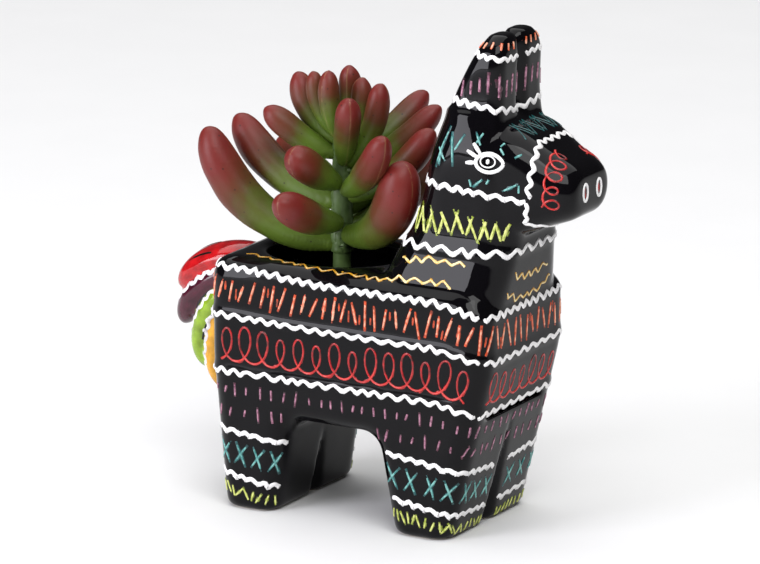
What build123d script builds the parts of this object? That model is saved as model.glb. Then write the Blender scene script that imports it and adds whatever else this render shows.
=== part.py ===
from build123d import *
import os
from math import atan2, cos, radians, sin

# A donkey-shaped ceramic planter with a succulent pick standing in its back.
# Millimetres. +X points to the muzzle, +Y to the animal's left, +Z up; the feet stand on Z = 0.

# Trunk and legs
body_length = 106.0        # rump to chest
trunk_lead = 1.6           # trunk ahead of the origin, which lies midway between tail and muzzle
body_width = 57.0          # across the flanks
back_height = 86.0         # floor to the top of the back
belly_height = 32.5        # floor to the underside of the trunk
haunch_drop = 34.0         # top of the back down to where the hind legs run out into the rump
brisket_drop = 26.0        # top of the back down to where the front legs run out into the chest
heel_setback = 0.047 * body_length       # rump to the hind heel
toe_setback = 0.14 * body_length         # chest to the front toe
hind_foot_length = 0.19 * body_length
front_foot_length = 0.2 * body_length
hind_leg_spread = 0.047 * body_length    # how far a leg widens from its foot up to the belly
front_leg_spread = 0.06 * body_length
rump_round = 7.8
chest_round = 12.0
haunch_round = 40.0
arch_round = 7.0
flank_round = 7.0          # along both sides of the trunk and legs
foot_round = 3.0           # under the feet

# Cast ridges under the painted bands: depth below the back on the flank, drop to the chest, lift to the rump
ridge_proud = 0.5
ridge_height = 2.6
ridges = [
    (4.6, 4.0, 2.4),
    (20.2, 3.6, 0.9),
    (38.5, 4.6, 0.0),
]
nape_ridge = 11.8          # middle of the ridge round the neck above the back

# Crease between the two legs of a pair
crease_depth = 4.5
crease_width = 12.0
crease_fade_front = 49.0   # height where the crease runs out on the chest
crease_fade_rear = 38.0    # height where it runs out on the rump
crease_fade_arch = 29.0    # height where it runs out under the belly

# Neck and skull: height above the back, rear and front measured from the chest, width.
# The second station lies at the back, where the mouth ends behind the neck.
neck_corner = 11.0
neck_stations = [
    (-12.0, -48.0, -1.5, 51.0),
    (0.0, -44.0, 1.0, 49.0),
    (11.5, -38.5, 3.0, 43.0),
    (21.0, -34.0, 4.0, 41.0),
    (34.5, -30.5, 3.5, 41.0),
    (48.0, -27.0, 0.5, 39.5),
    (57.5, -24.0, -5.0, 36.0),
]

# Muzzle: distance ahead of the chest, underside and top above the back, width
muzzle_corner = 9.5
muzzle_stations = [
    (-17.0, 17.0, 53.5, 38.5),
    (0.0, 16.0, 52.5, 37.0),
    (10.0, 19.5, 47.5, 33.5),
    (17.0, 22.0, 43.5, 31.0),
    (21.5, 24.0, 41.0, 27.5),
    (23.9, 27.0, 38.0, 21.0),
]

# Ears: height above the back, rear and front measured from the chest, width
ear_gap = 0.8              # between the two ears, whose inner sides stand upright
ear_corner = 4.0
ear_tip_round = 2.4
ear_stations = [
    (48.0, -22.5, -1.8, 16.6),
    (60.0, -20.9, -2.5, 15.4),
    (69.5, -16.6, -2.2, 15.2),
    (76.5, -12.9, -2.0, 14.4),
    (82.5, -9.8, -3.2, 9.0),
]

# Hollow of the casting and its mouth in the back
wall = 5.0
well_round = 6.0
rim_land = 2.0             # flat left between the mouth and the rounded flanks and rump
rim_round = 1.8
nape_gap = 4.0             # mouth to the back of the neck

# Drain hole in the belly and its rubber stopper
drain_radius = 4.5
stopper_flange_radius = 6.5
stopper_flange_thickness = 2.0
stopper_sink = 0.4         # how far the stopper's end stays below the well's floor
stopper_clearance = 0.05
stopper_round = 0.8

# Tail: a brush of four locks lying on each other, luted to the rump
tail_root_drop = 7.0       # root below the top of the back
tail_root_overlap = 6.0    # root reaches this far into the rump before it is trimmed to it
tail_lock_step = 2.6       # each lock's root below the one above
tail_locks = [
    # start rise, end rise, length, half thickness, half width
    (12.0, -58.0, 37.5, 5.0, 8.6),
    (0.0, -74.0, 42.5, 5.2, 9.0),
    (-12.0, -104.0, 46.5, 5.2, 9.0),
    (-26.0, -112.0, 46.5, 5.4, 8.2),
]

# Foam block in the well
foam_height = 30.0
foam_clearance = 1.5       # all round inside the mouth
foam_round = 2.0

# Stem of the plant, with a pick that pushes into the foam
stem_lead = 2.0            # stem ahead of the mouth's middle
stem_rise = 43.0           # top of the stem above the back
stem_foot_radius = 3.4
stem_top_radius = 2.4
pick_radius = 1.7
pick_length = 24.0
pick_point = 5.0
pick_clearance = 0.3

# Leaves: azimuth from +X, seat above the back, rise at the seat and at the tip, length, radius,
# for a plant with plant_room between its stem and the neck; another room scales the whole plant
plant_room = 28.85
leaf_neck = 0.34           # seat radius as a share of the leaf's radius
leaf_peg = 0.6             # peg radius as a share of the seat radius
leaf_peg_depth = 2.0
peg_clearance = 0.05
leaves = [
    (198.0, 2.5, 3.0, 80.0, 61.0, 7.0),
    (178.0, 16.5, 5.0, 61.0, 47.5, 6.3),
    (147.0, 22.0, 3.0, 12.0, 44.0, 5.4),
    (268.0, 10.0, 14.0, 32.0, 39.0, 6.0),
    (259.0, 23.5, 24.0, 42.0, 27.0, 5.7),
    (206.0, 33.0, 21.0, 48.0, 27.5, 4.4),
    (172.0, 37.5, 20.0, 86.0, 27.5, 4.4),
    (196.0, 40.0, 48.0, 94.0, 22.0, 3.0),
    (258.0, 40.0, 60.0, 101.0, 23.0, 3.5),
    (102.0, 35.4, 48.0, 115.0, 27.5, 4.0),
    (8.0, 30.0, 47.0, 91.0, 30.5, 4.0),
    (307.0, 31.5, 45.0, 67.0, 29.5, 4.5),
    (323.0, 21.4, 18.0, 57.0, 41.0, 5.1),
    (339.0, 6.5, -1.0, 95.0, 46.0, 7.6),
    (60.0, 32.4, 15.0, 48.0, 35.0, 4.4),
    (33.0, 27.0, 23.0, 50.0, 37.0, 4.5),
    (14.0, 18.7, 20.0, 63.0, 38.0, 5.0),
    (105.0, 3.5, 8.0, 45.0, 42.0, 6.2),
    (81.0, 13.6, 18.0, 50.0, 40.0, 5.6),
    (55.0, 8.5, 7.0, 58.0, 42.0, 5.5),
    (43.0, 36.0, 62.0, 99.0, 23.0, 3.7),
]

# Worked-out places
haunch_height = back_height - haunch_drop
brisket_height = back_height - brisket_drop
rump_x = trunk_lead - body_length / 2
chest_x = trunk_lead + body_length / 2
hind_heel_x = rump_x + heel_setback
hind_toe_x = hind_heel_x + hind_foot_length
front_toe_x = chest_x - toe_setback
front_heel_x = front_toe_x - front_foot_length
arch_rear_x = hind_toe_x + hind_leg_spread
arch_front_x = front_heel_x - front_leg_spread
well_floor = belly_height + wall
foam_top = well_floor + foam_height
drain_x = (arch_rear_x + arch_front_x) / 2
mouth_rear_x = rump_x + rump_round + rim_land
mouth_front_x = chest_x + neck_stations[1][1] - nape_gap
mouth_x = (mouth_rear_x + mouth_front_x) / 2
mouth_length = mouth_front_x - mouth_rear_x
mouth_width = body_width - 2 * (flank_round + rim_land)
stem_x = mouth_x + stem_lead
nape_x = chest_x + (neck_stations[1][1] + neck_stations[2][1]) / 2
plant_scale = (nape_x - stem_x) / plant_room
stem_top = back_height + stem_rise * plant_scale
UP = Vector(0, 0, 1)


def corner_limit(corner, width, depth):
    """Corner radius that a rectangle of this width and depth can take."""
    return min(corner, 0.48 * width, 0.48 * depth)


def level_section(height, rear, front, width, corner, inset=0.0):
    """Rounded rectangle lying level, placed from the chest and the back."""
    depth = front - rear - 2 * inset
    breadth = width - 2 * inset
    outline = RectangleRounded(depth, breadth, corner_limit(corner - inset, depth, breadth))
    return Pos(chest_x + (rear + front) / 2, 0, back_height + height) * outline


def upright_section(ahead, low, high, width, corner, inset=0.0):
    """Rounded rectangle standing across the muzzle, placed from the chest and the back."""
    tall = high - low - 2 * inset
    breadth = width - 2 * inset
    outline = RectangleRounded(breadth, tall, corner_limit(corner - inset, breadth, tall))
    place = Plane(
        origin=(chest_x + ahead, 0, back_height + (low + high) / 2), x_dir=(0, 1, 0), z_dir=(1, 0, 0)
    )
    return place * outline


def trunk_block(grow=0.0):
    """Trunk and four legs from the side outline, with the flanks and feet rounded; grow makes it fuller."""
    corners = [
        (hind_heel_x - grow, 0, 0),
        (rump_x - grow, haunch_height, haunch_round),
        (rump_x - grow, back_height + grow, rump_round + grow),
        (chest_x + grow, back_height + grow, chest_round + grow),
        (chest_x + grow, brisket_height, haunch_round),
        (front_toe_x + grow, 0, 0),
        (front_heel_x, 0, 0),
        (arch_front_x, belly_height, arch_round),
        (arch_rear_x, belly_height, arch_round),
        (hind_toe_x, 0, 0),
    ]
    outline = FilletPolyline(
        *[(x, z) for x, z, _ in corners], radius=[r for _, _, r in corners], close=True
    )
    block = extrude(Plane.XZ * make_face(outline), body_width / 2 + grow, both=True)
    flanks = block.faces().filter_by(Axis.Y).edges().filter_by(lambda e: e.center().Z > foot_round / 2)
    block = fillet(flanks, flank_round + grow)
    soles = block.faces().filter_by(Axis.Z).filter_by(lambda f: f.center().Z < foot_round / 2)
    return fillet(soles.edges(), foot_round)


def band_slab(depth, drop, lift):
    """Slab across the body that follows a painted band in side view."""
    height = back_height - depth
    bend = chest_round + ridge_height
    line = [
        (rump_x - wall, height + lift),
        (rump_x + body_length / 10, height + lift),
        (rump_x + 0.4 * body_length, height),
        (chest_x - bend, height),
        (chest_x, height - drop),
        (chest_x + wall, height - drop),
    ]
    half = ridge_height / 2
    outline = [(x, z + half) for x, z in line] + [(x, z - half) for x, z in reversed(line)]
    return extrude(Plane.XZ * make_face(Polyline(*outline, close=True)), body_width, both=True)


def cast_ridges():
    """Low ridges round the trunk and neck that carry the white painted bands."""
    trunk = trunk_block(ridge_proud)
    neck = loft([level_section(*station, neck_corner, -ridge_proud) for station in neck_stations])
    collar = Pos(chest_x, 0, back_height + nape_ridge) * Box(2 * body_length, 2 * body_width, ridge_height)
    return [trunk & band_slab(*ridge) for ridge in ridges] + [neck & collar]


def crease(foot_x, side, fade_x, fade_height):
    """Cutter for the crease in one face of a leg pair; side is +1 for a face that looks forward."""
    half = crease_width / 2
    lip = (half**2 + crease_depth**2) / (2 * crease_depth)
    middle = (-radians(90) + atan2(crease_depth - lip, half)) / 2
    left = ThreePointArc(
        (-half, 0), (-half + lip * cos(middle), lip + lip * sin(middle)), (0, crease_depth)
    )
    right = mirror(left, Plane.YZ)
    outside = Polyline((half, 0), (half, -crease_depth), (-half, -crease_depth), (-half, 0))
    section = make_face([left, right, outside])
    foot = Vector(foot_x, 0, 0)
    root = foot - Vector(side * crease_depth, 0, 0)
    run = Vector(fade_x, 0, fade_height) - root
    place = Plane(origin=foot, x_dir=(0, side, 0), z_dir=run.normalized())
    return extrude(place * section, run.length, both=True)


def face_x(low, high, height):
    """Where a straight leg face, from low to high, stands at a height."""
    return low[0] + (high[0] - low[0]) * (height - low[1]) / (high[1] - low[1])


def leg_creases():
    """The four creases: front and rear face of both leg pairs."""
    faces = [
        ((front_toe_x, 0), (chest_x, brisket_height), 1, crease_fade_front),
        ((front_heel_x, 0), (arch_front_x, belly_height), -1, crease_fade_arch),
        ((hind_toe_x, 0), (arch_rear_x, belly_height), 1, crease_fade_arch),
        ((hind_heel_x, 0), (rump_x, haunch_height), -1, crease_fade_rear),
    ]
    return [crease(low[0], side, face_x(low, high, fade), fade) for low, high, side, fade in faces]


def head_block(inset=0.0, last=None):
    """Neck, skull and muzzle up to their last station; inset gives the hollow inside them."""
    neck = loft([level_section(*station, neck_corner, inset) for station in neck_stations[:last]])
    muzzle = loft([upright_section(*station, muzzle_corner, inset) for station in muzzle_stations[:last]])
    return neck + muzzle


def ear(side):
    """One upright ear with a rounded tip, which narrows on its outer side only."""
    sections = []
    for height, rear, front, width in ear_stations:
        section = level_section(height, rear, front, width, ear_corner)
        sections.append(Pos(0, side * (ear_gap + width) / 2, 0) * section)
    horn = loft(sections)
    tip = horn.faces().sort_by(Axis.Z)[-1]
    return fillet(tip.edges(), ear_tip_round)


def head_hollow():
    """Hollow of the neck and muzzle, open to the well below, with a wall left at the muzzle's front."""
    front = chest_x + muzzle_stations[-1][0] - wall
    keep = Box(2 * front, body_width, 4 * back_height)
    return head_block(wall, -1) & keep


def well_hollow():
    """The trunk's hollow, the neck's hollow over it and the mouth in the back."""
    length = body_length - 2 * wall
    height = back_height - wall - well_floor
    well = Pos(trunk_lead, 0, well_floor + height / 2) * Box(length, body_width - 2 * wall, height)
    well = fillet(well.edges(), well_round)
    throat = Pos(mouth_x, 0, well_floor + height / 2) * Ellipse(mouth_length / 2, mouth_width / 2)
    drain = Pos(drain_x, 0, 0) * Cylinder(
        drain_radius, well_floor + well_round, align=(Align.CENTER, Align.CENTER, Align.MIN)
    )
    return well + extrude(throat, back_height) + head_hollow() + drain


def rim_edges(shell):
    """The mouth's edge on top of the back."""
    return shell.edges().filter_by(
        lambda e: e.is_closed and abs(e.center(CenterOf.BOUNDING_BOX).Z - back_height) < rim_round / 2
    )


def planter():
    """The ceramic casting without its tail."""
    shell = trunk_block() - leg_creases()
    shell += head_block() + ear(1) + ear(-1)
    shell += cast_ridges()
    shell -= well_hollow()
    return fillet(rim_edges(shell), rim_round)


def arc_limb(root, azimuth, start_rise, end_rise, length, sections):
    """Smooth limb along an arc in an upright plane, through (share, in-plane, across) half sizes."""
    out = Vector(cos(radians(azimuth)), sin(radians(azimuth)), 0)
    across = UP.cross(out)
    bend = radians(end_rise - start_rise)

    def spine(share):
        half = bend * share / 2
        reach = length * share * (sin(half) / half if half else 1.0)
        rise = radians(start_rise) + half
        return root + out * (reach * cos(rise)) + UP * (reach * sin(rise))

    outlines = []
    for share, thick, wide in sections:
        rise = radians(start_rise) + bend * share
        heading = out * cos(rise) + UP * sin(rise)
        place = Plane(origin=spine(share), x_dir=across, z_dir=heading)
        outline = Circle(wide) if wide == thick else Ellipse(wide, thick)
        outlines.append(place * outline)
    return loft(outlines + [Vertex(*spine(1.0))])


def tail():
    """Four locks fused into one brush and trimmed to the rump that it is luted to."""
    swell = [(0.0, 0.8), (0.3, 0.95), (0.55, 1.0), (0.75, 0.92), (0.88, 0.72), (0.97, 0.36)]
    brush = None
    for step, (start, end, length, thick, wide) in enumerate(tail_locks):
        drop = tail_root_drop + step * tail_lock_step
        root = Vector(rump_x + tail_root_overlap, 0, back_height - drop)
        shares = [(share, thick * grow, wide * grow) for share, grow in swell]
        lock = arc_limb(root, 180.0, start, end, length, shares)
        brush = lock if brush is None else brush + lock
    return brush - [trunk_block(), *cast_ridges()]


def stopper():
    """Rubber stopper: a flange under the belly and a shank through the drain hole."""
    up = (Align.CENTER, Align.CENTER, Align.MIN)
    flange = Pos(drain_x, 0, belly_height - stopper_flange_thickness) * Cylinder(
        stopper_flange_radius, stopper_flange_thickness, align=up
    )
    flange = fillet(flange.edges().group_by(Axis.Z)[0], stopper_round)
    shank = Pos(drain_x, 0, belly_height) * Cylinder(
        drain_radius - stopper_clearance, wall - stopper_sink, align=up
    )
    return flange + chamfer(shank.edges().group_by(Axis.Z)[-1], stopper_round)


def foam():
    """Oval foam block that goes through the mouth and stands on the well's floor."""
    oval = Ellipse(mouth_length / 2 - foam_clearance, mouth_width / 2 - foam_clearance)
    block = extrude(Pos(mouth_x, 0, well_floor) * oval, foam_height)
    block = fillet(block.edges().group_by(Axis.Z)[-1], foam_round)
    reach = pick_length + pick_clearance
    socket = Pos(stem_x, 0, foam_top - reach) * Cylinder(
        pick_radius + pick_clearance, reach, align=(Align.CENTER, Align.CENTER, Align.MIN)
    )
    return block - socket


def stem_radius(height):
    """Radius of the tapering stem at a height above the floor."""
    share = (height - foam_top) / (stem_top - foam_top)
    return stem_foot_radius + (stem_top_radius - stem_foot_radius) * share


def stem_core():
    """Stem and pick before the leaf holes are made; the stem's shoulder stands on the foam."""
    crown = stem_top - stem_top_radius
    outline = Polyline(
        (0, foam_top - pick_length),
        (pick_radius, foam_top - pick_length + pick_point),
        (pick_radius, foam_top),
        (stem_foot_radius, foam_top),
        (stem_radius(crown), crown),
    )
    dome = RadiusArc(outline @ 1, (0, stem_top), -stem_radius(crown))
    axis = Line((0, stem_top), (0, foam_top - pick_length))
    profile = make_face([outline, dome, axis])
    return Pos(stem_x, 0, 0) * revolve(Plane.XZ * profile, Axis.Z)


def leaf_seat(azimuth, seat):
    """Point on the stem's skin where a leaf sits."""
    height = back_height + seat
    skin = stem_radius(height)
    return Vector(stem_x + skin * cos(radians(azimuth)), skin * sin(radians(azimuth)), height)


def leaf_peg_solid(azimuth, seat, start_rise, radius, depth, reach):
    """Peg of a leaf, from its depth in the stem to its reach inside the leaf."""
    out = Vector(cos(radians(azimuth)), sin(radians(azimuth)), 0)
    heading = out * cos(radians(start_rise)) + UP * sin(radians(start_rise))
    place = Plane(origin=leaf_seat(azimuth, seat) - heading * depth, z_dir=heading)
    return extrude(place * Circle(radius), depth + reach)


def leaf_girth(share):
    """A leaf's radius along its length: a slim neck, a full belly and a blunt round tip."""
    swell = leaf_neck + (1 - leaf_neck) * (1 - (1 - share) ** 2.5)
    return swell * (1 - share**7) ** 0.5


def leaf(core, azimuth, seat, start_rise, end_rise, length, radius):
    """One fleshy leaf, saddled on the stem's skin, with a peg that goes into it."""
    shares = (0.0, 0.1, 0.28, 0.48, 0.68, 0.83, 0.93, 0.98)
    sections = [(s, radius * leaf_girth(s), radius * leaf_girth(s)) for s in shares]
    body = arc_limb(leaf_seat(azimuth, seat), azimuth, start_rise, end_rise, length, sections)
    peg_radius = radius * leaf_neck * leaf_peg
    peg = leaf_peg_solid(azimuth, seat, start_rise, peg_radius, leaf_peg_depth, leaf_peg_depth)
    return (body - core) + peg


def leaf_hole(azimuth, seat, start_rise, radius):
    """Hole in the stem for a leaf's peg."""
    hole_radius = radius * leaf_neck * leaf_peg + peg_clearance
    return leaf_peg_solid(
        azimuth, seat, start_rise, hole_radius, leaf_peg_depth + peg_clearance, leaf_peg_depth
    )


def build():
    """Every piece by its node's name."""
    core = stem_core()
    rows = [
        (azimuth, seat * plant_scale, start, end, length * plant_scale, radius * plant_scale)
        for azimuth, seat, start, end, length, radius in leaves
    ]
    holes = [leaf_hole(row[0], row[1], row[2], row[5]) for row in rows]
    pieces = {
        "planter_shell": planter(),
        "tail": tail(),
        "drain_stopper": stopper(),
        "foam_block": foam(),
        "plant_stem": core - holes,
    }
    for number, row in enumerate(rows, start=1):
        pieces[f"leaf_{number:02d}"] = leaf(core, *row)
    return pieces


os.makedirs("parts", exist_ok=True)
for node, shape in build().items():
    export_step(shape, f"parts/{node}.step")
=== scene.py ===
import bisect
import bmesh
import bpy
import math
import random
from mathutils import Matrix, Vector, noise
from mathutils.bvhtree import BVHTree


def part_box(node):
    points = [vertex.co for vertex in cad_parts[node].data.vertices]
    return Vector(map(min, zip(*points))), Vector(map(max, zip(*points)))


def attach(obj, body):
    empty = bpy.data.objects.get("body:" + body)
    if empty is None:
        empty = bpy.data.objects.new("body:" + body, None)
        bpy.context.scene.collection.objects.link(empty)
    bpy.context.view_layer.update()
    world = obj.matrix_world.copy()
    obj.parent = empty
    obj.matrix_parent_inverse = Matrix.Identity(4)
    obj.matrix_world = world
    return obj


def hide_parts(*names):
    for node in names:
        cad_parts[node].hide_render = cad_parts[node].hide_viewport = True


# Looks of a hand-painted donkey planter: a gloss black casting with raised slip-trailed strokes, a painted
# tail brush and a soft moulded succulent. Sizes are in millimetres, in the part's own frame.

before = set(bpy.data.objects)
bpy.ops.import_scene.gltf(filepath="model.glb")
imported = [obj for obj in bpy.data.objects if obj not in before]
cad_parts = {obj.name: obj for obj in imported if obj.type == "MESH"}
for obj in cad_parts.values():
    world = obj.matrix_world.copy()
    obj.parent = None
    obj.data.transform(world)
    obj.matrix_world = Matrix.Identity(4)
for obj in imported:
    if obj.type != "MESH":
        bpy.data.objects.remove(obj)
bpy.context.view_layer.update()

MM = 0.001
hand = random.Random(11)          # the painter's unsteady hand

# Places on the casting, read from the frame
low, high = (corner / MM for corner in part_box("planter_shell"))
ridge_proud = 0.5
rump_x = low.x + ridge_proud
muzzle_x = high.x
half_width = high.y - ridge_proud
body_length = 106.0
back_z = 86.0
flank_round = 7.0
chest_x = rump_x + body_length

# White bands on the trunk's cast ridges: height on the flanks, drop to the chest, lift to the rump
saddle_band = (81.4, 4.0, 2.4)
girth_band = (65.8, 3.6, 0.9)
leg_band = (47.5, 4.6, 0.0)
chest_bend = 14.6          # how far behind the chest the drop begins
lift_start = 42.4          # how far ahead of the rump the lift begins
lift_run = 31.8            # how long the lift takes
corner_inset = 2.0         # a brush is lifted this far inside each corner of the trunk

# Slip strokes: how far they stand proud
white_lift = 0.42
fine_lift = 0.2


# Materials

def linear(colour):
    """sRGB hex to linear red, green, blue and alpha."""
    parts = [int(colour[place:place + 2], 16) / 255 for place in (1, 3, 5)]
    return tuple(p / 12.92 if p <= 0.04045 else ((p + 0.055) / 1.055) ** 2.4 for p in parts) + (1.0,)


def add(tree, kind, inputs=(), **settings):
    """Adds a node with its settings; inputs gives a socket a value or another node's output."""
    node = tree.nodes.new(kind)
    for name, value in settings.items():
        setattr(node, name, value)
    for name, value in dict(inputs).items():
        if isinstance(value, bpy.types.NodeSocket):
            tree.links.new(value, node.inputs[name])
        else:
            node.inputs[name].default_value = value
    return node


def blank_material(name):
    """A new material with an empty tree and its output."""
    material = bpy.data.materials.new(name)
    material.use_nodes = True
    material.node_tree.nodes.clear()
    return material, material.node_tree


def black_glaze():
    """Gloss black glaze on white earthenware: a deep wet shine, slightly wavy, bare clay under the soles."""
    material, tree = blank_material("black_gloss_glaze")
    place = add(tree, "ShaderNodeTexCoord").outputs["Object"]
    height = add(tree, "ShaderNodeSeparateXYZ", {0: place}).outputs["Z"]
    sole = add(tree, "ShaderNodeMapRange", {
        "Value": height, "From Min": 0.25 * MM, "From Max": 0.6 * MM, "To Min": 1.0, "To Max": 0.0})
    pooling = add(tree, "ShaderNodeTexNoise", {"Vector": place, "Scale": 1 / (22 * MM), "Detail": 3.0})
    glaze = add(tree, "ShaderNodeMix", {
        "Factor": pooling.outputs["Fac"], 6: linear("#050406"), 7: linear("#0b0a0d")}, data_type="RGBA")
    grain = add(tree, "ShaderNodeTexNoise", {"Vector": place, "Scale": 1 / (0.9 * MM), "Detail": 4.0})
    clay = add(tree, "ShaderNodeMix", {
        "Factor": grain.outputs["Fac"], 6: linear("#cfc3b2"), 7: linear("#e9e0d2")}, data_type="RGBA")
    colour = add(tree, "ShaderNodeMix", {
        "Factor": sole.outputs[0], 6: glaze.outputs[2], 7: clay.outputs[2]}, data_type="RGBA")
    rough = add(tree, "ShaderNodeMapRange", {"Value": sole.outputs[0], "To Min": 0.03, "To Max": 0.8})
    wave = add(tree, "ShaderNodeTexNoise", {"Vector": place, "Scale": 1 / (11 * MM), "Detail": 1.0})
    bump = add(tree, "ShaderNodeBump", {
        "Height": wave.outputs["Fac"], "Strength": 0.25, "Distance": 0.35 * MM})
    shader = add(tree, "ShaderNodeBsdfPrincipled", {
        "Base Color": colour.outputs[2], "Roughness": rough.outputs[0], "IOR": 1.27,
        "Normal": bump.outputs["Normal"]})
    add(tree, "ShaderNodeOutputMaterial", {"Surface": shader.outputs[0]})
    return material


def trailed_slip(name, thick, thin, patch, rough):
    """Slip trailed by hand and fired with the glaze: satin, patchy where the brush ran thin."""
    material, tree = blank_material(name)
    place = add(tree, "ShaderNodeTexCoord").outputs["Object"]
    load = add(tree, "ShaderNodeTexNoise", {"Vector": place, "Scale": 1 / (patch * MM), "Detail": 4.0})
    share = add(tree, "ShaderNodeMapRange", {
        "Value": load.outputs["Fac"], "From Min": 0.38, "From Max": 0.66})
    colour = add(tree, "ShaderNodeMix", {
        "Factor": share.outputs[0], 6: linear(thick), 7: linear(thin)}, data_type="RGBA")
    grain = add(tree, "ShaderNodeTexNoise", {"Vector": place, "Scale": 1 / (0.5 * MM), "Detail": 2.0})
    bump = add(tree, "ShaderNodeBump", {
        "Height": grain.outputs["Fac"], "Strength": 0.2, "Distance": 0.1 * MM})
    shader = add(tree, "ShaderNodeBsdfPrincipled", {
        "Base Color": colour.outputs[2], "Roughness": rough, "IOR": 1.5, "Normal": bump.outputs["Normal"]})
    add(tree, "ShaderNodeOutputMaterial", {"Surface": shader.outputs[0]})
    return material


def tail_glaze():
    """Bright glazes brushed lock by lock over white clay: gloss, with streaks along the brush."""
    material, tree = blank_material("brushed_colour_glaze")
    place = add(tree, "ShaderNodeTexCoord").outputs["Object"]
    lock = add(tree, "ShaderNodeAttribute", attribute_name="lock_colour").outputs["Color"]
    streak = add(tree, "ShaderNodeTexNoise", {"Vector": place, "Scale": 1 / (4 * MM), "Detail": 5.0})
    share = add(tree, "ShaderNodeMapRange", {
        "Value": streak.outputs["Fac"], "From Min": 0.35, "From Max": 0.75, "To Max": 0.55})
    colour = add(tree, "ShaderNodeMix", {
        "Factor": share.outputs[0], 6: lock, 7: linear("#241410")}, data_type="RGBA", blend_type="MULTIPLY")
    shader = add(tree, "ShaderNodeBsdfPrincipled", {
        "Base Color": colour.outputs[2], "Roughness": 0.08, "IOR": 1.5})
    add(tree, "ShaderNodeOutputMaterial", {"Surface": shader.outputs[0]})
    return material


def waxy_leaf():
    """Soft PVC leaf, airbrushed green to dark red: a waxy sheen, a mould seam, dimples and dark specks."""
    material, tree = blank_material("airbrushed_pvc_leaf")
    place = add(tree, "ShaderNodeTexCoord").outputs["Object"]
    ripe = add(tree, "ShaderNodeAttribute", attribute_name="ripe").outputs["Fac"]
    seam = add(tree, "ShaderNodeAttribute", attribute_name="seam").outputs["Fac"]
    cloud = add(tree, "ShaderNodeTexNoise", {"Vector": place, "Scale": 1 / (9 * MM), "Detail": 3.0})
    drift = add(tree, "ShaderNodeMath", {0: cloud.outputs["Fac"], 1: 0.3, 2: -0.15}, operation="MULTIPLY_ADD")
    reach = add(tree, "ShaderNodeMath", {0: ripe, 1: drift.outputs[0]}, operation="ADD").outputs[0]
    browned = add(tree, "ShaderNodeMapRange", {"Value": reach, "From Min": 0.36, "From Max": 0.62})
    reddened = add(tree, "ShaderNodeMapRange", {"Value": reach, "From Min": 0.54, "From Max": 0.84})
    green = add(tree, "ShaderNodeMix", {
        "Factor": browned.outputs[0], 6: linear("#566d22"), 7: linear("#4d3a1a")}, data_type="RGBA")
    red = add(tree, "ShaderNodeMix", {
        "Factor": reddened.outputs[0], 6: green.outputs[2], 7: linear("#6c1f1a")}, data_type="RGBA")
    cell = add(tree, "ShaderNodeTexVoronoi", {"Vector": place, "Scale": 1 / (3.6 * MM), "Randomness": 1.0})
    speck = add(tree, "ShaderNodeMapRange", {
        "Value": cell.outputs["Distance"], "From Min": 0.06, "From Max": 0.11, "To Min": 0.8, "To Max": 0.0})
    specked = add(tree, "ShaderNodeMix", {
        "Factor": speck.outputs[0], 6: red.outputs[2], 7: linear("#241612")}, data_type="RGBA")
    flash = add(tree, "ShaderNodeMapRange", {
        "Value": seam, "From Min": 0.1 * MM, "From Max": 0.3 * MM, "To Min": 0.25, "To Max": 0.0})
    colour = add(tree, "ShaderNodeMix", {
        "Factor": flash.outputs[0], 6: specked.outputs[2], 7: linear("#a98d62")}, data_type="RGBA")
    dimple = add(tree, "ShaderNodeTexNoise", {"Vector": place, "Scale": 1 / (1.3 * MM), "Detail": 3.0})
    bump = add(tree, "ShaderNodeBump", {
        "Height": dimple.outputs["Fac"], "Strength": 0.25, "Distance": 0.2 * MM})
    shader = add(tree, "ShaderNodeBsdfPrincipled", {
        "Base Color": colour.outputs[2], "Roughness": 0.46, "IOR": 1.4, "Subsurface Weight": 0.03,
        "Subsurface Radius": (0.004, 0.002, 0.001), "Subsurface Scale": 0.4,
        "Normal": bump.outputs["Normal"]})
    add(tree, "ShaderNodeOutputMaterial", {"Surface": shader.outputs[0]})
    return material


def matt_stock(name, dark, light, grain, rough, depth):
    """Matt moulded or cut stock with a grain of the given size."""
    material, tree = blank_material(name)
    place = add(tree, "ShaderNodeTexCoord").outputs["Object"]
    pore = add(tree, "ShaderNodeTexNoise", {"Vector": place, "Scale": 1 / (grain * MM), "Detail": 5.0})
    colour = add(tree, "ShaderNodeMix", {
        "Factor": pore.outputs["Fac"], 6: linear(dark), 7: linear(light)}, data_type="RGBA")
    bump = add(tree, "ShaderNodeBump", {
        "Height": pore.outputs["Fac"], "Strength": 0.6, "Distance": depth * MM})
    shader = add(tree, "ShaderNodeBsdfPrincipled", {
        "Base Color": colour.outputs[2], "Roughness": rough, "Normal": bump.outputs["Normal"]})
    add(tree, "ShaderNodeOutputMaterial", {"Surface": shader.outputs[0]})
    return material


# Pieces

def baked(shape):
    """A shape's mesh with its modifiers or bevel applied; the shape itself goes."""
    bpy.context.scene.collection.objects.link(shape)
    graph = bpy.context.evaluated_depsgraph_get()
    mesh = bpy.data.meshes.new_from_object(shape.evaluated_get(graph))
    bpy.data.objects.remove(shape)
    return mesh


def recast(node, voxel, passes):
    """Even skin over a copy of a CAD solid, softened as a mould and glaze soften it."""
    solid = bmesh.new()
    solid.from_mesh(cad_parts[node].data)
    bmesh.ops.remove_doubles(solid, verts=solid.verts, dist=0.002 * MM)
    mesh = bpy.data.meshes.new(node + "_skin")
    solid.to_mesh(mesh)
    solid.free()
    blank = bpy.data.objects.new(node + "_blank", mesh)
    even = blank.modifiers.new("even", "REMESH")
    even.mode = "VOXEL"
    even.voxel_size = voxel * MM
    soften = blank.modifiers.new("soften", "SMOOTH")
    soften.factor = 0.5
    soften.iterations = passes
    return baked(blank)


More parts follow.
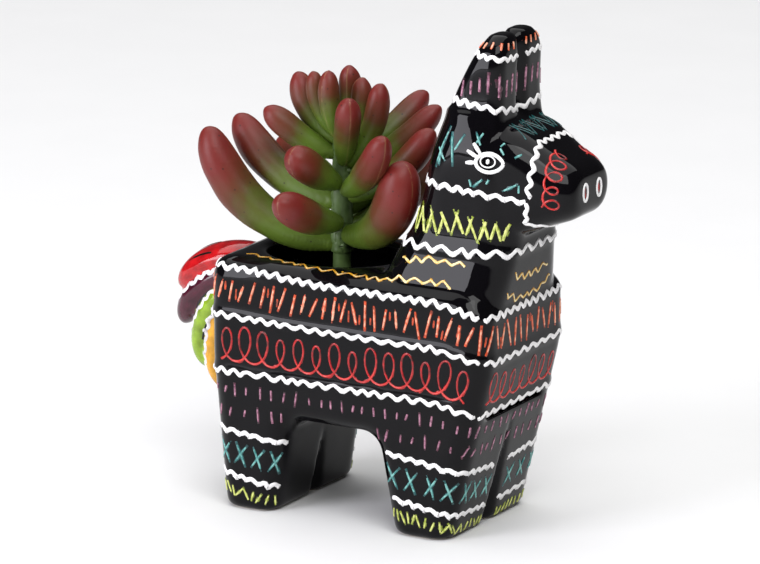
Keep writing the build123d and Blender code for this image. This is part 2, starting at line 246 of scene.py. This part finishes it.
def settle(name, mesh, material, body, slot, *nodes):
    """Puts a finished mesh in the scene as a piece that rides on a body and stands for its CAD nodes."""
    mesh.materials.clear()
    mesh.materials.append(material)
    mesh.shade_smooth()
    piece = bpy.data.objects.new(name, mesh)
    bpy.context.scene.collection.objects.link(piece)
    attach(piece, body)
    if nodes:
        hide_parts(*nodes)
    return piece


# Brushwork: every mark is drawn along a guide line that lies on the skin

class Guide:
    """A line on a skin through rough points; a place on it is so far along and so far up from the line."""

    def __init__(self, skin, points):
        self.skin = skin
        self.spots = []
        for start, end in zip(points, points[1:]):
            start, end = Vector(start), Vector(end)
            steps = max(1, round((end - start).length))
            self.spots += [self.touch(start.lerp(end, step / steps))[0] for step in range(steps)]
        self.spots.append(self.touch(Vector(points[-1]))[0])
        self.marks = [0.0]
        for before, after in zip(self.spots, self.spots[1:]):
            self.marks.append(self.marks[-1] + (after - before).length)
        self.length = self.marks[-1]

    def touch(self, point):
        """Nearest place on the skin and its normal."""
        place, normal, _, _ = self.skin.find_nearest(point * MM)
        return place / MM, normal

    def mark(self, point):
        """How far along the line the nearest spot to a point is."""
        gaps = [(spot - Vector(point)).length for spot in self.spots]
        return self.marks[gaps.index(min(gaps))]

    def at(self, along, up=0.0):
        """Place and normal on the skin, so far along the line and so far up from it."""
        after = min(max(bisect.bisect(self.marks, along), 1), len(self.marks) - 1)
        before, span = after - 1, max(self.marks[after] - self.marks[after - 1], 1e-6)
        spot = self.spots[before].lerp(self.spots[after], (along - self.marks[before]) / span)
        ahead = self.spots[min(after + 2, len(self.spots) - 1)] - self.spots[max(before - 2, 0)]
        rise = self.touch(spot)[1].cross(ahead).normalized()
        return self.touch(spot + rise * up)


strokes = {}


def draw(colour, guide, mark, lift=fine_lift):
    """Adds one stroke; the mark is a list of (along, up, width)."""
    strokes.setdefault(colour, []).append([(*guide.at(along, up), width, lift) for along, up, width in mark])


def draw_with_painted_highlight(colour, guide, mark, share=0.45):
    """A stroke with a paler core along its middle: a painted highlight on the raised bead."""
    # The paler, narrower core drawn over the stroke is a painted highlight, not a second slip.
    draw(colour, guide, mark)
    highlight_mark = [(along, up, width * share) for along, up, width in mark[1:-1]]
    draw(colour + "_painted_highlight", guide, highlight_mark, 1.6 * fine_lift)


def dash(start, end, width, steps=7):
    """A straight stroke from start to end, each (along, up), thinner towards both ends."""
    mark = []
    for step in range(steps + 1):
        share = step / steps
        swell = 0.35 + 0.65 * math.sin(math.pi * (0.08 + 0.84 * share)) ** 0.6
        along = start[0] + (end[0] - start[0]) * share
        up = start[1] + (end[1] - start[1]) * share
        mark.append((along, up, width * swell * hand.uniform(0.86, 1.12)))
    return mark


def scribble(points, width, steps=5):
    """One stroke through several (along, up) points, with rounded turns."""
    mark = []
    for start, end in zip(points, points[1:]):
        for step in range(steps):
            share = step / steps
            ease = 0.5 * share + 0.5 * (0.5 - 0.5 * math.cos(math.pi * share))
            along = start[0] + (end[0] - start[0]) * ease
            up = start[1] + (end[1] - start[1]) * ease
            mark.append((along, up, width * hand.uniform(0.85, 1.1)))
    mark.append((*points[-1], width * 0.5))
    return mark


def zigzag(start, end, width, swing, pitch, sharp=0.35):
    """A wavy stroke from start to end, with waves of uneven length and height."""
    mark, along, phase = [], start, hand.random() * math.tau
    wave, size, step = pitch, swing, 0.4
    while along < end:
        wobble = (1 - sharp) * math.sin(phase) + sharp * math.asin(math.sin(phase)) * 2 / math.pi
        blunt = min(1.0, 0.55 + (along - start) / 1.4, 0.55 + (end - along) / 1.4)
        ragged = hand.uniform(0.92, 1.06) * (0.98 - 0.16 * math.sin(phase))
        mark.append((along, size * wobble, width * blunt * ragged))
        along += step
        turned = phase // math.tau
        phase += math.tau * step / wave
        if phase // math.tau > turned:
            wave = pitch * hand.uniform(0.72, 1.28)
            size = swing * hand.uniform(0.65, 1.25)
    return mark


def loops(start, count, pitch, tall, wide, width):
    """A row of cursive loops of uneven size, heavy along the bottom and thin over the top."""
    mark, steps = [], 24
    sizes = [hand.uniform(0.74, 1.06) for _ in range(count + 1)]
    for step in range(count * steps + 1):
        turn, size = math.tau * step / steps, sizes[step // steps]
        along = start + pitch * turn / math.tau + wide * size / 2 * math.sin(turn)
        up = tall * (size * (1 - math.cos(turn)) - 1) / 2
        heavy = 0.4 + 0.6 * max(0.0, math.cos(turn - 0.35)) ** 2
        mark.append((along, up, width * heavy))
    return mark


def trail(colour, material):
    """One mesh of all the strokes of a colour: round beads sunk into the skin so that a low dome shows."""
    curve = bpy.data.curves.new(colour, "CURVE")
    curve.dimensions = "3D"
    curve.bevel_depth = MM
    curve.bevel_resolution = 2
    curve.use_fill_caps = True
    for stroke in strokes[colour]:
        spline = curve.splines.new("POLY")
        spline.points.add(len(stroke) - 1)
        for point, (place, normal, width, lift) in zip(spline.points, stroke):
            proud = min(lift, width / 2)
            radius = (width ** 2 / 4 + proud ** 2) / (2 * proud)
            point.co = (*((place + normal * (proud - radius)) * MM), 1.0)
            point.radius = radius
    return settle(colour, baked(bpy.data.objects.new(colour, curve)), material, "planter", "glazed_body")


def mirrored(points):
    """The same line on the other flank, run backwards so that up stays up."""
    return [(x, -y, z) for x, y, z in reversed(points)]


# Layout of the bands

def band_height(band, x):
    """Height of a white band: level on the flank, lower on the chest, lifted towards the rump."""
    level, drop, lift = band
    ahead = min(1.0, max(0.0, (x - chest_x + chest_bend) / chest_bend))
    behind = min(1.0, max(0.0, (rump_x + lift_start - x) / lift_run))
    return level - drop * ahead + lift * behind


def middle_height(bands, x):
    """Height midway between the given bands."""
    return sum(band_height(band, x) for band in bands) / len(bands)


def trunk_ring(*bands):
    """Rough ring round the trunk, anticlockwise from the rump, midway between the given bands."""
    inner = half_width - flank_round
    corners = [(rump_x + flank_round, -inner, 180), (chest_x - flank_round, -inner, 270),
               (chest_x - flank_round, inner, 0), (rump_x + flank_round, inner, 90)]
    plan = [(rump_x, 0.0)]
    for x, y, turn in corners:
        bend = [math.radians(turn + 15 * step) for step in range(7)]
        plan += [(x + flank_round * math.cos(a), y + flank_round * math.sin(a)) for a in bend]
    plan.append((rump_x, 0.0))
    ring = []
    for (x0, y0), (x1, y1) in zip(plan, plan[1:]):
        for step in range(8):
            x, y = x0 + (x1 - x0) * step / 8, y0 + (y1 - y0) * step / 8
            ring.append((x, y, middle_height(bands, x)))
    return ring


def trunk_stops(ring, tail_gap, *bands):
    """Marks on a trunk ring where the brush was lifted: beside the tail and at the four corners."""
    rear, front, side = rump_x + corner_inset, chest_x - corner_inset, half_width - corner_inset
    spots = [(rump_x, -tail_gap), (rear, -side), (front, -side),
             (front, side), (rear, side), (rump_x, tail_gap)]
    return [ring.mark((x, y, middle_height(bands, x))) for x, y in spots]


def skin_of(mesh):
    """Search tree over a mesh, for strokes that lie on it."""
    solid = bmesh.new()
    solid.from_mesh(mesh)
    tree = BVHTree.FromBMesh(solid)
    solid.free()
    return tree


# The casting and its painted bands

shell = recast("planter_shell", 1.05, 5)
body_skin = skin_of(shell)
settle("glazed_casting", shell, black_glaze(), "planter", "glazed_body", "planter_shell")

trunk_bands = ((saddle_band, 0.95, 4.4, 0.7), (girth_band, 0.75, 5.2, 0.4), (leg_band, 0.8, 5.5, 0.3))
for band, swing, pitch, sharp in trunk_bands:
    ring = Guide(body_skin, trunk_ring(band))
    stops = trunk_stops(ring, 10, band)
    for start, end in zip(stops, stops[1:]):
        draw("white_rickrack", ring, zigzag(start + 0.7, end - 0.7, 1.6, swing, pitch, sharp), white_lift)

# Orange dashes between the saddle and girth bands
ring = Guide(body_skin, trunk_ring(saddle_band, girth_band))
along, side = 12.0, 1
while along < ring.length - 12:
    spot = ring.at(along)[0]
    if spot.x < 5:
        lean = hand.uniform(0.6, 1.5)
    else:
        side = -side
        lean = side * hand.uniform(0.0, 1.5)
    top, bottom = hand.uniform(3.2, 5.4), hand.uniform(-5.4, -3.4)
    width = hand.uniform(1.3, 1.9)
    draw_with_painted_highlight("orange_slip", ring, dash((along + lean, top), (along - lean, bottom), width), 0.5)
    if hand.random() < 0.4:
        middle, reach = hand.uniform(-2.5, 2.5), hand.uniform(1.2, 2.0)
        draw("orange_slip", ring, dash((along + 2.1, middle + reach), (along + 2.0, middle - reach), 0.85))
    along += hand.uniform(3.5, 4.4)

# Red loops between the girth and leg bands
ring = Guide(body_skin, trunk_ring(girth_band, leg_band))
stops = trunk_stops(ring, 9, girth_band, leg_band)
for start, end in zip(stops, stops[1:]):
    count = max(2, round((end - start - 6) / 7.0))
    draw_with_painted_highlight("red_slip", ring, loops(start + 3.0, count, (end - start - 6) / count, 11.8, 7.4, 2.0), 0.45)

# Mauve dashes in two rows over the tops of the legs
for height in (41.2, 33.6):
    ring = Guide(body_skin, trunk_ring((height, 4.6, 0.0)))
    along = 6.0
    while along < ring.length - 6:
        reach, lean = hand.uniform(1.4, 3.0), hand.uniform(-0.3, 0.7)
        place, normal = ring.at(along)
        if abs(normal.z) < 0.4 and abs(place.z - height) < 6:
            width = hand.uniform(1.2, 1.8)
            draw_with_painted_highlight("mauve_slip", ring, dash((along + lean, reach), (along - lean, -reach), width), 0.5)
        along += hand.uniform(3.2, 5.6)


# Legs: a white band at the knee and one at the hoof, with crosses between and crossing dabs below

front_knee = [
    (16.0, -28.5, 27.9), (29, -28.5, 26.6), (38.5, -28.5, 25.4), (42.9, -25.8, 24.4),
    (45, -21, 23.5), (45, -12, 22.7), (44, -3.5, 22.3),
]
front_hoof = [
    (18.2, -28, 12.8), (29, -28.5, 11.4), (35.5, -28.5, 10.3), (40, -25.5, 9.2),
    (41.5, -21, 8.5), (41.5, -12, 8.0), (40.5, -3.5, 7.8),
]
hind_knee = [
    (-48.2, -3.5, 28.5), (-49.3, -12, 28.3), (-49, -21, 27.8), (-46.7, -26, 27.4),
    (-41.7, -28.5, 27), (-30.7, -28.5, 25.8), (-25.7, -27, 25), (-23.2, -22.4, 24.5),
]
hind_hoof = [
    (-46.7, -3.5, 13.6), (-47.7, -12, 13.4), (-47.5, -21, 13), (-45.5, -26, 12.6),
    (-41.7, -28.5, 12), (-31.7, -28.5, 10.2), (-27.7, -26.8, 9.5), (-26.1, -23, 9.2),
]
for knee_line, hoof_line in ((front_knee, front_hoof), (hind_knee, hind_hoof)):
    for turn in (list, mirrored):
        knee, hoof = Guide(body_skin, turn(knee_line)), Guide(body_skin, turn(hoof_line))
        for guide in (knee, hoof):
            draw("white_rickrack", guide, zigzag(0.5, guide.length - 0.5, 2.1, 0.6, 4.4), white_lift)
        along = 4.2
        while along < knee.length - 3:
            reach = hand.uniform(2.2, 2.9)
            draw_with_painted_highlight("teal_slip", knee, dash((along - reach, -3.2), (along + reach, -11.6), 1.8), 0.45)
            draw_with_painted_highlight("teal_slip", knee, dash((along + reach, -3.4), (along - reach, -11.2), 1.7), 0.45)
            along += hand.uniform(6.6, 7.8)
        along = 1.8
        while along < hoof.length - 1.5:
            lean, middle = hand.uniform(-1.9, 1.9), hand.uniform(-5.6, -4.7)
            dab = dash((along - lean, middle + 2.2), (along + lean, middle - 2.2), 1.6)
            draw_with_painted_highlight("lime_slip", hoof, dab)
            along += hand.uniform(1.7, 3.2)


# Neck and head

def ring_through(*points):
    """A line round the front of the head: the given near-side points, then the same on the far side."""
    return list(points) + mirrored(points)


neck_band_height = 97.8
neck_plan = [(15.6, -0.5), (15.8, -6), (16.8, -14), (19.3, -18.5), (31.3, -22), (43.6, -22.2), (54.1, -17.5),
             (58, -11.4), (58.2, -3)]
neck_band = Guide(body_skin, ring_through(*[(x, y, neck_band_height) for x, y in neck_plan]))
draw("white_rickrack", neck_band, zigzag(0.5, neck_band.length - 0.5, 1.7, 1.15, 6.6, 0.5), white_lift)

jaw_side = [(22.3, -0.5, 119.5), (22.5, -8, 119.5), (26.3, -18, 119), (36.3, -20.5, 118.6),
            (49.3, -19.7, 117.6), (63.8, -16.9, 116)]
jaw_under = [(63.8, -16.9, 116.4), (63, -16, 112), (62.4, -15, 108.3), (66, -12.5, 107.5), (68.5, -8, 107),
             (69, -1, 107)]
nose_line = ring_through((63.7, -16.9, 117), (64.3, -16.8, 122), (64.8, -15.9, 126.6), (64.6, -13.9, 130.3),
                         (63.3, -8, 134.3), (63.6, -1, 134.2))
ear_line = ring_through((33.3, -0.8, 147.8), (33.6, -7, 147.6), (34.3, -15, 146.8), (44, -16.3, 146),
                        (51, -13, 144.5), (52.3, -8, 143.8), (52.2, -1, 143.3))
ear_tip_line = [
    (41.6, -1.5, 162.8), (41.8, -12, 162.8), (45, -14.9, 162.3),
    (50.5, -14, 161.5), (52.6, -10, 161), (52.4, -2, 160.8),
]
side_bands = ((jaw_side, 2.1, 0.7, 4.6), (jaw_under, 1.7, 0.45, 4.0), (ear_tip_line, 1.6, 0.7, 3.8))
for turn in (list, mirrored):
    for line, width, swing, pitch in side_bands:
        guide = Guide(body_skin, turn(line))
        draw("white_rickrack", guide, zigzag(0.4, guide.length - 0.4, width, swing, pitch), white_lift)
for line, width, swing, pitch in ((nose_line, 1.7, 0.8, 4.4), (ear_line, 1.8, 0.85, 4.6)):
    guide = Guide(body_skin, line)
    draw("white_rickrack", guide, zigzag(0.4, guide.length - 0.4, width, swing, pitch), white_lift)

# Yellow lines: one along each side of the back, one beside the neck, and two across the chest
back_line = [(-41.2, -18.7, 86), (-24.7, -22, 86), (-8.2, -23.8, 85.8), (6.3, -24.2, 85.8), (24.3, -24.6, 87),
             (41, -24.6, 87)]
neck_side = [(19.3, -21.3, 92.2), (31.3, -22.6, 94.2), (44.9, -22.8, 93.6)]
chest_low = [(54.9, -15, 84), (54.8, -8, 80.8), (55, -1, 80.3)]
chest_high = [(55.8, -12, 89.7), (56, -7, 88), (56.2, -1, 87.6)]


def brush_load(x):
    """How full the yellow brush is: nearly dry along the back, full beside the neck."""
    return 0.45 + 0.55 * min(1.0, max(0.0, (x - 8) / 12))


for turn in (list, mirrored):
    for line, width in ((back_line, 1.9), (neck_side, 2.1)):
        guide = Guide(body_skin, turn(line))
        wave = zigzag(0.5, guide.length - 0.5, width, 1.0, 5.4, 0.8)
        mark = [(along, up, size * brush_load(guide.at(along)[0].x)) for along, up, size in wave]
        draw_with_painted_highlight("yellow_slip", guide, mark, 0.45)
        along = 4.0
        while along < guide.length - 4:
            if guide.at(along)[0].x < 14:
                width = hand.uniform(1.2, 1.7)
                draw("yellow_slip", guide, dash((along - 0.7, 0.9), (along + 0.6, -0.7), width))
            along += hand.uniform(4.5, 7.5)
for line in (chest_low, chest_high):
    guide = Guide(body_skin, ring_through(*line))
    draw_with_painted_highlight("yellow_slip", guide, zigzag(0.5, guide.length - 0.5, 1.3, 1.0, 5.0, 0.8))

# Lime strokes crossing each other round the neck
neck_middle = [(20.5, -17, 106.5), (30, -20.4, 106.5), (45, -20.8, 106.5), (53.5, -18.5, 106),
               (58.5, -13.5, 105.5)]
for turn in (list, mirrored):
    guide = Guide(body_skin, turn(neck_middle))
    along = 1.5
    while along < guide.length - 2:
        reach, low_end = hand.uniform(1.4, 3.0), hand.uniform(-5.6, -4.0)
        turning = (along + reach * 0.6, low_end)
        start, width = (along - reach, hand.uniform(3.4, 5.8)), hand.uniform(1.6, 2.6)
        draw_with_painted_highlight("lime_slip", guide, dash(start, turning, width), 0.5)
        end, width = (along + 1.6 * reach, hand.uniform(2.4, 5.8)), hand.uniform(1.8, 2.8)
        draw_with_painted_highlight("lime_slip", guide, dash(turning, end, width), 0.5)
        along += hand.uniform(3.8, 5.4)

# Eyes with lashes, on a line along the cheek
eye_height = 128.5
cheek = [(38, -20.4, eye_height), (47, -20, eye_height), (56, -18.3, eye_height), (60, -17.6, eye_height)]
for turn, ahead in ((list, 1), (mirrored, -1)):
    guide = Guide(body_skin, turn(cheek))
    middle = guide.mark((51.0, -ahead * 19.2, eye_height))
    outline = []
    for step in range(29):
        angle = math.tau * step / 28
        taper = 1 - 0.28 * max(0.0, math.cos(angle)) ** 2
        outline.append((middle + ahead * 4.7 * math.cos(angle), -0.3 + 3.1 * taper * math.sin(angle), 1.35))
    draw("white_rickrack", guide, outline, white_lift)
    iris = [(middle + ahead * (-0.6 + 2.5 * math.cos(a)), 0.1 + 1.9 * math.sin(a), 0.55)
            for a in (math.tau * step / 18 for step in range(19))]
    draw("white_rickrack", guide, iris, fine_lift)
    draw("white_rickrack", guide, [(middle - ahead * 1.4, 0.2, 1.2), (middle - ahead * 0.6, 0.1, 1.9),
                                   (middle + ahead * 0.1, 0.0, 1.2)], white_lift)
    for start, end in (((-3.2, 2.6), (-5.8, 5.9)), ((-4.2, 1.4), (-8.0, 3.2)), ((-4.6, -0.4), (-8.4, -0.9))):
        lash = dash((middle + ahead * start[0], start[1]), (middle + ahead * end[0], end[1]), 1.5)
        draw("white_rickrack", guide, lash, white_lift)

# Teal scratches about the eye and over the forehead
scratches = [((31.3, 124.6), (37.2, 139.1)), ((38.5, 125.4), (38.2, 137.5)), ((32.0, 132.0), (36.0, 127.0)),
             ((39.0, 130.5), (43.0, 137.0)), ((46.8, 138.5), (48.9, 133.0)), ((46.6, 134.0), (50.0, 138.5)),
             ((54.5, 133.8), (57.3, 136.5)), ((55.0, 134.0), (56.4, 130.8)), ((44.5, 122.6), (45.5, 119.4)),
             ((45.5, 119.4), (49.8, 122.8)), ((56.0, 119.0), (62.0, 122.0)), ((62.0, 122.0), (62.3, 118.4)),
             ((60.5, 130.3), (63.3, 132.3)), ((33.0, 125.0), (33.6, 131.5)), ((50.5, 121.0), (52.0, 122.8))]
for turn, ahead in ((list, 1), (mirrored, -1)):
    guide = Guide(body_skin, turn([(26, -19.6, eye_height)] + cheek + [(64, -16.6, eye_height)]))
    for (x0, z0), (x1, z1) in scratches:
        start, end = (guide.mark((x - 0.7, -ahead * 19.5, eye_height)) for x in (x0, x1))
        draw_with_painted_highlight("teal_slip", guide, dash((start, z0 - eye_height), (end, z1 - eye_height), 1.7), 0.45)
brow = Guide(body_skin, [(57, y, 138.2) for y in (-13, -8, 0, 8, 13)])
brow_points = [(1.0 + 3.4 * step, 4.2 if step % 2 else -4.2) for step in range(8)]
draw("teal_slip", brow, scribble(brow_points, 0.6))
draw("teal_slip", brow, scribble([(along + 1.6, -up) for along, up in brow_points], 0.5))

# Red curls on the nose, and the nostrils
nose_side = [(70, -3, 130.8), (71, -9, 129.5), (71.5, -13, 126), (72, -15, 121), (71.5, -15.4, 115),
             (70.5, -14.5, 110.5)]
nostril_height, nostril_side = 118.6, 4.6
for turn, ahead in ((list, 1), (mirrored, -1)):
    guide = Guide(body_skin, turn(nose_side))
    curls = loops(1.0, 5, (guide.length - 4) / 5, 6.0, 5.6, 2.0)
    draw_with_painted_highlight("red_slip", guide, [(along, ahead * up, width) for along, up, width in curls], 0.45)
snout = Guide(body_skin, [(muzzle_x, y, nostril_height) for y in (-9, -nostril_side, 0, nostril_side, 9)])
for y in (-nostril_side, nostril_side):
    middle = snout.mark((muzzle_x, y, nostril_height))
    turns = [math.tau * step / 20 for step in range(21)]
    oval = [(middle + 1.5 * math.sin(a), 2.9 * math.cos(a), 1.0) for a in turns]
    draw("white_rickrack", snout, oval, white_lift)
    draw("red_slip", snout, dash((middle - 0.3, 1.6), (middle + 0.2, -1.8), 1.1))

# Ears: mauve strokes below the upper band and orange dabs at the tips
ear_stroke_height, ear_dab_height = 153, 164.7
ear_strokes = [(38, -14.5), (43, -15.9), (48.5, -15.5), (51.8, -12.5), (52.3, -8), (52.2, -2)]
ear_dabs = [(43.5, -11), (46.5, -12.5), (50.5, -11.5), (51.8, -8), (51.6, -3)]
for turn in (list, mirrored):
    guide = Guide(body_skin, turn([(x, y, ear_stroke_height) for x, y in ear_strokes]))
    along = 1.0
    while along < guide.length:
        top, bottom = hand.uniform(1.0, 4.5), hand.uniform(-6.0, -3.0)
        draw_with_painted_highlight("mauve_slip", guide, dash((along, top), (along - 0.3, bottom), 1.9), 0.5)
        along += hand.uniform(3.0, 4.6)
    guide = Guide(body_skin, turn([(x, y, ear_dab_height) for x, y in ear_dabs]))
    along = 0.5
    while along < guide.length:
        draw_with_painted_highlight("orange_slip", guide, dash((along, 1.8), (along - 0.6, -1.6), 1.8))
        along += hand.uniform(2.4, 3.4)

# Slips: material, full and thin colour, size of the patches, roughness
# The pale core entries are painted highlights along the middle of each raised coloured bead.
slips = {
    "white_rickrack": ("white_slip", "#f6f5f4", "#ebe9ea", 6.0, 0.3),
    "orange_slip": ("orange_slip", "#cf4716", "#6e240c", 1.8, 0.28),
    "orange_slip_painted_highlight": ("orange_highlight_paint", "#f3b597", "#d8521f", 1.8, 0.28),
    "red_slip": ("red_slip", "#b01015", "#4f080b", 2.2, 0.28),
    "red_slip_painted_highlight": ("red_highlight_paint", "#d43a34", "#a51216", 2.0, 0.28),
    "mauve_slip": ("mauve_slip", "#4c1a30", "#220f18", 1.8, 0.3),
    "mauve_slip_painted_highlight": ("mauve_highlight_paint", "#b88298", "#5c2340", 1.3, 0.3),
    "teal_slip": ("teal_slip", "#15595a", "#0b2c2d", 1.8, 0.3),
    "teal_slip_painted_highlight": ("teal_highlight_paint", "#7fbdb6", "#1d6d6c", 1.5, 0.3),
    "lime_slip": ("lime_slip", "#8d9c2a", "#2f380d", 1.5, 0.34),
    "lime_slip_painted_highlight": ("lime_highlight_paint", "#dade86", "#93a22c", 1.5, 0.34),
    "yellow_slip": ("yellow_slip", "#cf941c", "#8a5f14", 2.0, 0.28),
    "yellow_slip_painted_highlight": ("yellow_highlight_paint", "#f7e6b0", "#e0b040", 1.8, 0.28),
}
for colour, finish in slips.items():
    trail(colour, trailed_slip(*finish))


# Tail: a brush of four locks, each in its own colour, with white bands between them

lock_colours = ("#c4161c", "#4e1529", "#93b52f", "#e9a92c")
lock_arcs = [(12.0, -58.0, 37.5), (0.0, -74.0, 42.5), (-12.0, -104.0, 46.5), (-26.0, -112.0, 46.5)]
tail_root = Vector((rump_x + 6.0, 0.0, back_z - 7.0))
lock_step = 2.6


def lock_spine(number, share):
    """A point on a lock's middle line, from root to tip; a broken number lies between two locks."""
    below = min(int(number), 2)
    mix = number - below
    points = []
    for lock in (below, below + 1):
        start, end, length = lock_arcs[lock]
        half = math.radians(end - start) * share / 2
        rise = math.radians(start) + half
        reach = length * share * (math.sin(half) / half if half else 1.0)
        root = tail_root - Vector((0.0, 0.0, lock * lock_step))
        points.append(root + Vector((-math.cos(rise), 0.0, math.sin(rise))) * reach)
    return points[0].lerp(points[1], mix)


brush = recast("tail", 0.7, 4)
tail_skin = skin_of(brush)
paint = brush.color_attributes.new("lock_colour", "FLOAT_COLOR", "POINT")
spines = [[lock_spine(number, step / 24) for step in range(25)] for number in range(4)]
for vertex, cell in zip(brush.vertices, paint.data):
    spot = vertex.co / MM
    spot.y = 0.0
    gaps = [min((spot - point).length for point in spine) for spine in spines]
    cell.color = linear(lock_colours[gaps.index(min(gaps))])
settle("painted_brush", brush, tail_glaze(), "planter", "painted_tail", "tail")

strokes.clear()
for number in (0.5, 1.5, 2.5):
    for side in (-8.5, 8.5):
        line = []
        for share in (step / 12 for step in range(13)):
            line.append(lock_spine(number, 0.3 + 0.68 * share) + Vector((0, side * (1 - share ** 4 * 0.8), 0)))
        guide = Guide(tail_skin, line)
        draw("white_tail_bands", guide, zigzag(0.3, guide.length - 0.3, 2.0, 0.6, 4.0), white_lift)
for number in (0.0, 2.0, 3.0):
    for side in (-7.0, 0.5, 7.0):
        line = [lock_spine(number, 0.35 + 0.5 * step / 8) + Vector((-3.0, side, 3.0)) for step in range(9)]
        guide = Guide(tail_skin, line)
        streak = dash((1.0, 0.6), (guide.length * hand.uniform(0.6, 0.9), -0.4), 1.7)
        draw("black_tail_streaks", guide, streak, fine_lift)
tail_slips = {
    "white_tail_bands": ("white_tail_slip", "#f4f3f2", "#dcd9dc", 5.0, 0.3),
    "black_tail_streaks": ("black_tail_slip", "#0d0b0c", "#1c1512", 3.0, 0.25),
}
for colour, finish in tail_slips.items():
    trail(colour, trailed_slip(*finish))


# Plant, foam and stopper



def lumpy(mesh, grain, depth, growth):
    """Swells a skin by the growth at each vertex, with soft lumps of the given grain and depth."""
    for vertex, swell in zip(mesh.vertices, growth):
        bulge = swell + depth * noise.noise(vertex.co / (grain * MM))
        vertex.co += vertex.normal * bulge * MM


leaf_finish = waxy_leaf()
stem_low, stem_high = (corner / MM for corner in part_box("plant_stem"))
stem_axis = (stem_low + stem_high) / 2
for node in sorted(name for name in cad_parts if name.startswith("leaf_")):
    blade = recast(node, 0.6, 5)
    spots = [vertex.co / MM for vertex in blade.vertices]
    root = min(spots, key=lambda spot: math.hypot(spot.x - stem_axis.x, spot.y - stem_axis.y) + 0.9 * spot.z)
    tip = max(spots, key=lambda spot: (spot - root).length)
    length, heading = (tip - root).length, (tip - root).normalized()
    shares = [(spot - root).length / length for spot in spots]
    across = heading.cross(Vector((0, 0, 1))).normalized()
    ripe = blade.attributes.new("ripe", "FLOAT", "POINT")
    seam = blade.attributes.new("seam", "FLOAT", "POINT")
    for spot, share, red, line in zip(spots, shares, ripe.data, seam.data):
        red.value = share * (0.7 + 0.3 * min(1.0, length / 45))
        line.value = abs((spot - root).dot(across)) * MM
    lumpy(blade, 8.0, 0.3, [0.35 + 0.45 * (1 - share) ** 2 for share in shares])
    for vertex, share in zip(blade.vertices, shares):
        vertex.co += heading * 0.25 * MM * max(0.0, (share - 0.97) / 0.03) ** 2
    settle("blade_" + node[-2:], blade, leaf_finish, "plant", "leaf_plastic", node)

stalk = recast("plant_stem", 0.5, 4)
lumpy(stalk, 5.0, 0.7, [0.8 if vertex.co.z > back_z * MM else 0.0 for vertex in stalk.vertices])
stalk_finish = matt_stock("soft_pvc_stem", "#33491c", "#5d7440", 3.0, 0.5, 0.2)
settle("stalk", stalk, stalk_finish, "plant", "stem_plastic", "plant_stem")
block = recast("foam_block", 0.9, 3)
block_finish = matt_stock("open_cell_floral_foam", "#141a10", "#2b331f", 0.8, 0.95, 0.5)
settle("foam_oval", block, block_finish, "foam", "foam", "foam_block")
plug = recast("drain_stopper", 0.35, 3)
plug_finish = matt_stock("moulded_black_rubber", "#141414", "#1e1e1e", 0.7, 0.6, 0.1)
settle("plug", plug, plug_finish, "stopper", "stopper_rubber", "drain_stopper")


# Stage: a plain pale floor, soft boxes and the photograph's viewpoint

def soft_box(name, place, aim, wide, tall, power, tint):
    """A rectangular studio light that points at a spot."""
    lamp = bpy.data.lights.new(name, "AREA")
    lamp.shape = "RECTANGLE"
    lamp.size, lamp.size_y = wide, tall
    lamp.energy = power
    lamp.color = linear(tint)[:3]
    stand = bpy.data.objects.new(name, lamp)
    stand.location = place
    stand.rotation_euler = (Vector(aim) - Vector(place)).to_track_quat("-Z", "Y").to_euler()
    bpy.context.scene.collection.objects.link(stand)


ground = bmesh.new()
bmesh.ops.create_grid(ground, x_segments=1, y_segments=1, size=6.0)
floor_mesh = bpy.data.meshes.new("floor")
ground.to_mesh(floor_mesh)
ground.free()
floor_mesh.materials.append(matt_stock("pale_backdrop_paper", "#e6e6e6", "#eaeaea", 40.0, 0.9, 0.01))
floor = bpy.data.objects.new("floor", floor_mesh)
bpy.context.scene.collection.objects.link(floor)

centre = (0.0, 0.0, 0.085)
soft_box("key_box", (-0.6, -1.04, 0.51), (0.0, 0.0, 0.51), 0.6, 0.98, 15.0, "#f8f7ff")
soft_box("front_box", (0.67, -0.75, 1.2), centre, 1.0, 0.8, 14.0, "#ffffff")
soft_box("top_box", (-0.3, 0.5, 1.8), (-0.3, 0.5, 0.0), 2.6, 2.6, 42.0, "#ffffff")

world = bpy.data.worlds.new("studio")
world.use_nodes = True
world.node_tree.nodes["Background"].inputs["Color"].default_value = linear("#d8d8dc")
world.node_tree.nodes["Background"].inputs["Strength"].default_value = 0.1
bpy.context.scene.world = world

camera = bpy.data.cameras.new("camera")
camera.sensor_width = 36.0
camera.lens = 314.3
camera.clip_end = 20.0
viewer = bpy.data.objects.new("camera", camera)
aim = Vector((0.37, -2.51, 77.8)) * MM
azimuth, elevation, distance = math.radians(-59.94), math.radians(14.894), 2.2
viewer.location = aim + distance * Vector((
    math.cos(elevation) * math.cos(azimuth), math.cos(elevation) * math.sin(azimuth), math.sin(elevation)))
viewer.rotation_euler = (aim - viewer.location).to_track_quat("-Z", "Y").to_euler()
bpy.context.scene.collection.objects.link(viewer)
bpy.context.scene.camera = viewer
bpy.context.scene.view_settings.view_transform = "Standard"
